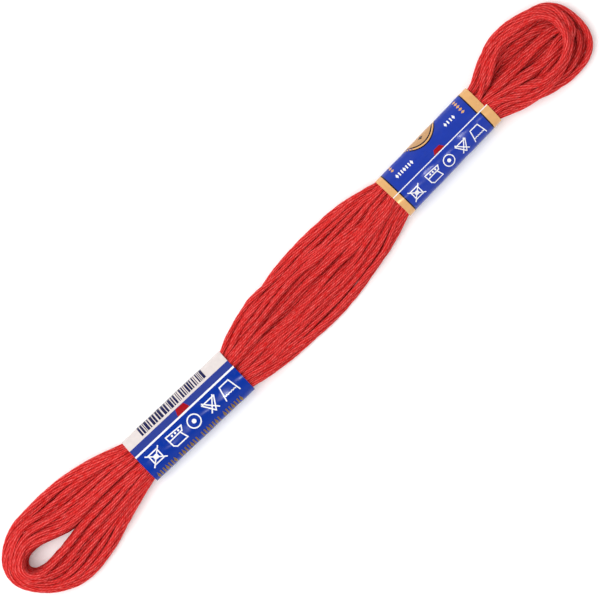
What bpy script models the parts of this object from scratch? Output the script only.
"""Skein of six-strand embroidery floss, lying on its back.

Eight metres of floss are wound into a ring of twelve turns. The ring is drawn out flat and folded in half, so that
four bundles of twelve threads run side by side. The fold end keeps one open eye. At the head the two ends of the
ring lie one on the other. Between them the bundles turn a quarter of a turn about the skein, and two paper bands
pinch them together.

Frame: metres, +X from the fold to the head, +Z up, origin under the middle of the skein at the surface it lies on.
"""

import math

import bmesh
import bpy
from mathutils import Matrix, Vector

MM = 0.001

# Driving dimensions, in millimetres. Distances "at" are counted along the skein from the fold end.
LENGTH = 165.0
BAND_WALL = 1.0
BAND_GAP = 0.3
BAND_HALF_HEIGHT = 2.95
BAND_RISE = 3.15
LAP_STEP = 0.25
LAP_DEGREES = 90.0
LAP_FADE = 0.3
LAP_EDGE_DEGREES = 1.0

# One row for each paper band: where it starts and ends, where its middle lies there, its half width, and at which
# angle the edge of its lap is, from +Y towards +Z.
BANDS = {
    "band_lower": {"start": 36.5, "end": 63.85, "start_y": -0.5, "end_y": -1.35, "half_width": 5.27, "lap_edge": 81.0},
    "band_upper": {"start": 111.05, "end": 138.1, "start_y": 0.9, "end_y": 1.45, "half_width": 4.9, "lap_edge": 92.0},
}

# The swell of the free threads between the bands. It is full near the lower band and tapers to the upper one, and
# "sideways" says how early its middle line moves over from one band to the other.
SWELL = {"half_width": 9.35, "half_height": 2.7, "rise": 2.35, "lower_fullness": 0.6, "upper_fullness": 0.95,
         "sideways": 0.6}

# One row for each end loop. "widest" and "tip" are places along the skein of its outline, "tip_y" is where its tip
# lies across it, and "high_y" and "low_y" are its edges where it is widest. "rise" says how late its legs spread and
# "point" how pointed its turn is, 1 being an oval, each on the +Y (plus) and -Y (minus) sides. The names with "eye"
# say the same of the opening, whose legs part at "parting", "parting_y". "low" is the height of the underside before
# it is pressed flat, and "height" and "tip_height" are how tall the legs and the tip stand.
LOOPS = {
    "fold": {"widest": 13.2, "tip": 0.4, "tip_y": 0.5, "high_y": 9.3, "low_y": -10.4,
             "plus_rise": 0.85, "minus_rise": 1.4, "plus_point": 1.0, "minus_point": 1.3,
             "eye_widest": 7.6, "eye_tip": 5.1, "eye_tip_y": 0.1, "eye_high": 1.9, "eye_low": -1.7,
             "parting": 18.0, "parting_y": -0.8, "low": -0.35, "height": 5.9, "tip_height": 7.3},
    "front": {"widest": 149.5, "tip": 163.0, "tip_y": 3.4, "high_y": 10.3, "low_y": -6.3,
              "plus_rise": 1.1, "minus_rise": 1.1, "plus_point": 1.0, "minus_point": 1.0,
              "eye_widest": 152.0, "eye_tip": 159.5, "eye_tip_y": 3.2, "eye_high": 6.0, "eye_low": -3.3,
              "parting": 139.5, "parting_y": 1.4, "low": 2.5, "height": 4.2, "tip_height": 4.4},
    "rear": {"widest": 156.3, "tip": 164.6, "tip_y": -0.2, "high_y": 7.2, "low_y": -8.0,
             "plus_rise": 0.9, "minus_rise": 1.4, "plus_point": 0.75, "minus_point": 0.6,
             "eye_widest": 150.0, "eye_tip": 156.5, "eye_tip_y": -0.2, "eye_high": 0.0, "eye_low": -0.4,
             "parting": 147.0, "parting_y": 0.6, "low": -0.35, "height": 4.2, "tip_height": 4.6},
}

# Three ropes of four threads make up each bundle. Their places in the fold end's section run from 0 in the middle
# to 1 at the side, and from 0 in the middle to 1 at the top.
ROPES = [
    {"name": "inner", "aside": 0.18, "deep": 0.22},
    {"name": "side", "aside": 0.92, "deep": 0.34},
    {"name": "face", "aside": 0.54, "deep": 0.88},
]
INNERMOST = 0.2
OUTERMOST = 0.9
ROPE_RADIUS = 1.6
PINCHED_ROPE_RADIUS = 0.95
PINCH_LENGTH = 2.4
MOUTH_RUN = 0.6
QUARTER_TURN = math.radians(-90.0)
TURN_START = 98.0
TURN_END = 137.0

PASS_STEPS = 44
TURN_STEPS = 18
ROPE_SIDES = 3
VOXEL = 0.8
KEPT_SHARE = 0.26
OVAL_POINTS = 40
OVAL_POWER = 2.4
SOFT_EDGE = math.radians(45.0)
HAIR = 0.001


def smooth(share):
    share = min(1.0, max(0.0, share))
    return share * share * (3.0 - 2.0 * share)


def between(a, b, share):
    return a + (b - a) * share


def clear_scene():
    for thing in list(bpy.data.objects):
        bpy.data.objects.remove(thing, do_unlink=True)


def material(name, colour, roughness, metallic=0.0):
    made = bpy.data.materials.new(name)
    made.use_nodes = True
    shader = made.node_tree.nodes["Principled BSDF"]
    shader.inputs["Base Color"].default_value = (*colour, 1.0)
    shader.inputs["Roughness"].default_value = roughness
    shader.inputs["Metallic"].default_value = metallic
    return made


def pinch(at):
    """1 where a paper band holds the threads, 0 where they are free, and a short ramp at each band's mouth."""
    found = 0.0
    for band in BANDS.values():
        before, after = band["start"] - at, at - band["end"]
        found = max(found, smooth(1.0 - max(before, after) / PINCH_LENGTH))
    return found


def section(at):
    """The half width, half height, middle line and height of the middle of the skein between its two necks."""
    lower, upper = BANDS["band_lower"], BANDS["band_upper"]
    along = min(1.0, max(0.0, (at - lower["end"]) / (upper["start"] - lower["end"])))
    fullness = between(SWELL["lower_fullness"], SWELL["upper_fullness"], smooth(along))
    swell = math.sin(math.pi * along) ** fullness
    if at <= lower["end"]:
        middle = between(lower["start_y"], lower["end_y"], (at - lower["start"]) / (lower["end"] - lower["start"]))
    elif at >= upper["start"]:
        middle = between(upper["start_y"], upper["end_y"], (at - upper["start"]) / (upper["end"] - upper["start"]))
    else:
        middle = between(lower["end_y"], upper["start_y"], along ** SWELL["sideways"])
    return {
        "half_width": between(between(lower["half_width"], upper["half_width"], along), SWELL["half_width"], swell),
        "half_height": between(BAND_HALF_HEIGHT, SWELL["half_height"], swell),
        "middle": middle,
        "rise": between(BAND_RISE, SWELL["rise"], swell),
    }


def rope_radius(at):
    return between(ROPE_RADIUS, PINCHED_ROPE_RADIUS, pinch(at))


def disc_place(aside, deep, at):
    """A rope's place in the round section, which turns a quarter of a turn, mostly inside the upper band."""
    turned = QUARTER_TURN * smooth((at - TURN_START) / (TURN_END - TURN_START))
    cos, sin = math.cos(turned), math.sin(turned)
    return aside * cos - deep * sin, aside * sin + deep * cos


def body_point(aside, deep, at):
    """A rope's point between the two necks."""
    here, radius = section(at), rope_radius(at)
    tight = pinch(at) * (BAND_WALL + BAND_GAP)
    across, up = disc_place(aside, deep, at)
    return Vector((
        at,
        here["middle"] + across * (here["half_width"] - tight - radius),
        here["rise"] + up * (here["half_height"] - tight - radius),
    ))


def loop_place(loop, outness, deep, neck, turn):
    """A rope's point on an end loop. turn runs from -1 at the neck, through 0 at the widest place, to 1 at the tip.

    outness runs from 0 beside the eye to 1 at the outline, and its sign says which leg the rope runs in.
    """
    side, out = math.copysign(1.0, outness), abs(outness)
    radius, inward = ROPE_RADIUS, math.copysign(ROPE_RADIUS, loop["widest"] - loop["tip"])
    widest = between(loop["eye_widest"], loop["widest"], out)
    tip = between(loop["eye_tip"] - inward, loop["tip"] + inward, out)
    tip_y = between(loop["eye_tip_y"], loop["tip_y"], out)
    outline_y = (loop["high_y"] if side > 0.0 else loop["low_y"]) - side * radius
    eye_y = loop["eye_high"] if side > 0.0 else loop["eye_low"]
    height = between(loop["height"], loop["tip_height"], smooth(turn))
    up = loop["low"] + radius + 0.5 * (1.0 + deep) * (height - 2.0 * radius)
    if turn >= 0.0:
        angle = 0.5 * math.pi * turn
        point = between(1.0, loop["plus_point"] if side > 0.0 else loop["minus_point"], out)
        far_y = between(eye_y + side * radius, outline_y, out)
        y = between(tip_y, far_y, max(0.0, math.cos(angle)) ** point)
        return Vector((between(widest, tip, math.sin(angle)), y, up))
    place = between(neck["at"], widest, 1.0 + turn)
    start = body_point(neck["across"], neck["up"], neck["at"])
    open_share = smooth((place - loop["parting"]) / (loop["eye_widest"] - loop["parting"]))
    rise = loop["plus_rise"] if side > 0.0 else loop["minus_rise"]
    flare = math.sin(0.5 * math.pi * (1.0 + turn)) ** rise
    inner_y = between(loop["parting_y"], eye_y, open_share) + side * radius
    y = between(start.y, between(inner_y, outline_y, out), flare)
    return Vector((place, y, between(start.z, up, smooth(1.0 + turn))))


def loop_points(loop, outness, deep, neck):
    """Points from the neck to the tip of one leg of an end loop."""
    turns = [step / TURN_STEPS for step in range(-TURN_STEPS, TURN_STEPS + 1)]
    return [loop_place(loop, outness, deep, neck, turn) for turn in turns]


def outness_of(across):
    """How far out in a loop a rope lies, from how far aside it lies in the section. The sign is kept."""
    return math.copysign(min(1.0, max(0.0, (abs(across) - INNERMOST) / (OUTERMOST - INNERMOST))), across)


def pass_points(rope, side, face):
    """One rope's points from the fold's tip to the head's tip. side is its leg at the fold, face 1 above, -1 below."""
    start, end = BANDS["band_lower"]["start"], BANDS["band_upper"]["end"]
    aside, deep = side * rope["aside"], face * rope["deep"]
    fold = loop_points(LOOPS["fold"], outness_of(aside), deep, {"across": aside, "up": deep, "at": start})
    body = [body_point(aside, deep, between(start, end, step / PASS_STEPS)) for step in range(1, PASS_STEPS)]
    across, up = disc_place(aside, deep, end)
    loop = LOOPS["front"] if up > 0.0 else LOOPS["rear"]
    layer = 2.0 * abs(up) - 1.0 if up > 0.0 else 1.0 - 2.0 * abs(up)
    return fold[::-1] + body + loop_points(loop, outness_of(across), layer, {"across": aside, "up": deep, "at": end})


def ring_points(rope):
    """One rope's whole ring: out along one bundle and back along the next, four times."""
    order = [(-1.0, 1.0, False), (-1.0, -1.0, True), (1.0, -1.0, False), (1.0, 1.0, True)]
    points = []
    for side, face, back in order:
        run = pass_points(rope, side, face)
        points += (run[::-1] if back else run)[1:]
    return points


def rope_mesh(rope):
    """A closed tube along one rope's ring, thinner where the bands pinch it."""
    curve = bpy.data.curves.new("rope_" + rope["name"], "CURVE")
    curve.dimensions = "3D"
    curve.bevel_depth = MM
    curve.bevel_resolution = ROPE_SIDES
    points = ring_points(rope)
    spline = curve.splines.new("POLY")
    spline.points.add(len(points) - 1)
    spline.use_cyclic_u = True
    for knot, point in zip(spline.points, points):
        knot.co = (*to_frame(point), 1.0)
        knot.radius = rope_radius(point.x)
    holder = bpy.data.objects.new(curve.name, curve)
    mesh = bpy.data.meshes.new_from_object(holder)
    bpy.data.objects.remove(holder)
    return mesh


def to_frame(point):
    """From millimetres along the skein to metres in the part's frame."""
    return Vector((point.x - 0.5 * LENGTH, point.y, point.z)) * MM


def keep_outer_shell(work):
    """Deletes every closed shell but the one with the most faces, so that no sealed hollow is left."""
    todo, shells = set(work.faces), []
    while todo:
        shell, edge = set(), [todo.pop()]
        while edge:
            face = edge.pop()
            shell.add(face)
            for near in (other for line in face.edges for other in line.link_faces):
                if near in todo:
                    todo.remove(near)
                    edge.append(near)
        shells.append(shell)
    outer = max(shells, key=len)
    bmesh.ops.delete(work, geom=[face for face in work.faces if face not in outer], context="FACES")


def press_into_bands(work):
    """Draws in the threads that would touch a band's inside, to a smooth oval, from a cut just before each mouth."""
    for band in BANDS.values():
        for at in (band["start"] - MOUTH_RUN, band["end"] + MOUTH_RUN):
            everything = list(work.verts) + list(work.edges) + list(work.faces)
            bmesh.ops.bisect_plane(work, geom=everything, plane_co=to_frame(Vector((at, 0.0, 0.0))),
                                   plane_no=(1.0, 0.0, 0.0))
    for vertex in work.verts:
        at = vertex.co.x / MM + 0.5 * LENGTH
        for band in BANDS.values():
            if not band["start"] - PINCH_LENGTH < at < band["end"] + PINCH_LENGTH:
                continue
            share = (at - band["start"]) / (band["end"] - band["start"])
            middle = between(band["start_y"], band["end_y"], share)
            past = max(band["start"] - at, at - band["end"], MOUTH_RUN) - MOUTH_RUN
            room = BAND_WALL + BAND_GAP - past
            across = (vertex.co.y / MM - middle) / (band["half_width"] - room)
            up = (vertex.co.z / MM - BAND_RISE) / (BAND_HALF_HEIGHT - room)
            reach = math.hypot(across, up)
            if reach > 1.0:
                vertex.co.y = (middle + across / reach * (band["half_width"] - room)) * MM
                vertex.co.z = (BAND_RISE + up / reach * (BAND_HALF_HEIGHT - room)) * MM


def lay_flat(work):
    """Cuts the underside level with the surface that the skein lies on, as the threads flatten there."""
    everything = list(work.verts) + list(work.edges) + list(work.faces)
    cut = bmesh.ops.bisect_plane(work, geom=everything, plane_co=(0.0, 0.0, 0.0), plane_no=(0.0, 0.0, -1.0),
                                 clear_outer=True)
    rim = [item for item in cut["geom_cut"] if isinstance(item, bmesh.types.BMEdge)]
    bmesh.ops.holes_fill(work, edges=rim)
    for vertex in work.verts:
        if abs(vertex.co.z) < HAIR * MM:
            vertex.co.z = 0.0


def make_floss(finish, parent):
    """The wound thread as one solid: its ropes run together, pressed where the bands hold it and flat below."""
    joined = bmesh.new()
    for rope in ROPES:
        joined.from_mesh(rope_mesh(rope))
    mesh = bpy.data.meshes.new("floss")
    joined.to_mesh(mesh)
    joined.free()
    rough = bpy.data.objects.new("ropes", mesh)
    bpy.context.scene.collection.objects.link(rough)
    remesh = rough.modifiers.new("one_body", "REMESH")
    remesh.mode = "VOXEL"
    remesh.voxel_size = VOXEL * MM
    thin = rough.modifiers.new("fewer_faces", "DECIMATE")
    thin.ratio = KEPT_SHARE
    bpy.context.view_layer.update()
    solid = bpy.data.meshes.new_from_object(rough.evaluated_get(bpy.context.evaluated_depsgraph_get()))
    bpy.data.objects.remove(rough)
    work = bmesh.new()
    work.from_mesh(solid)
    keep_outer_shell(work)
    press_into_bands(work)
    lay_flat(work)
    work.to_mesh(solid)
    work.free()
    solid.shade_smooth()
    solid.set_sharp_from_angle(angle=SOFT_EDGE)
    solid.materials.append(finish)
    floss = bpy.data.objects.new("floss", solid)
    bpy.context.scene.collection.objects.link(floss)
    floss.parent = parent
    return floss


def oval_point(angle, half_width, half_height):
    """A point of a flattened round, in (across, up), with the angle measured from +Y towards +Z."""
    cos, sin = math.cos(angle), math.sin(angle)
    power = 2.0 / OVAL_POWER
    return (math.copysign(abs(cos) ** power, cos) * half_width, math.copysign(abs(sin) ** power, sin) * half_height)


def lap_height(past):
    """How far the outer paper stands out where the strip laps over its own end, past degrees after the lap's edge."""
    return LAP_STEP * (1.0 - smooth((past / LAP_DEGREES - 1.0 + LAP_FADE) / LAP_FADE))


def make_band(name, band, finish, parent):
    """One paper strip wrapped round the threads and lapped over itself, as a tube with the lap's step."""
    turns = [360.0 * step / OVAL_POINTS for step in range(OVAL_POINTS)] + [360.0 - LAP_EDGE_DEGREES]
    heights = [lap_height(past) for past in turns]
    angles = [math.radians(band["lap_edge"] + past) for past in turns]
    outside = [oval_point(angle, band["half_width"] + step, BAND_HALF_HEIGHT + step)
               for angle, step in zip(angles, heights)]
    inside = [oval_point(angle, band["half_width"] - BAND_WALL, BAND_HALF_HEIGHT - BAND_WALL) for angle in angles]
    work = bmesh.new()
    rings = []
    for place, middle in ((band["start"], band["start_y"]), (band["end"], band["end_y"])):
        for outline in (outside, inside):
            rings.append([work.verts.new(to_frame(Vector((place, middle + across, BAND_RISE + up))))
                          for across, up in outline])
    start_out, start_in, end_out, end_in = rings
    count = len(start_out)
    for step in range(count):
        after = (step + 1) % count
        for a, b in ((start_out, end_out), (end_out, end_in), (end_in, start_in), (start_in, start_out)):
            work.faces.new((a[step], a[after], b[after], b[step]))
    bmesh.ops.recalc_face_normals(work, faces=list(work.faces))
    mesh = bpy.data.meshes.new(name)
    work.to_mesh(mesh)
    work.free()
    mesh.shade_smooth()
    mesh.set_sharp_from_angle(angle=SOFT_EDGE)
    mesh.materials.append(finish)
    made = bpy.data.objects.new(name, mesh)
    bpy.context.scene.collection.objects.link(made)
    made.parent = parent
    return made


def centre(parts):
    """Moves the meshes sideways together, so that the middle of the whole skein is over the origin."""
    points = [vertex.co for part in parts for vertex in part.data.vertices]
    middle = [0.5 * (min(axis) + max(axis)) for axis in zip(*points)]
    for part in parts:
        part.data.transform(Matrix.Translation((-middle[0], -middle[1], 0.0)))


def main():
    clear_scene()
    skein = bpy.data.objects.new("skein", None)
    bpy.context.scene.collection.objects.link(skein)
    parts = [make_floss(material("red_cotton", (0.66, 0.03, 0.035), 0.6), skein)]
    for name, band in BANDS.items():
        parts.append(make_band(name, band, material(name + "_paper", (0.02, 0.06, 0.5), 0.35), skein))
    centre(parts)


main()
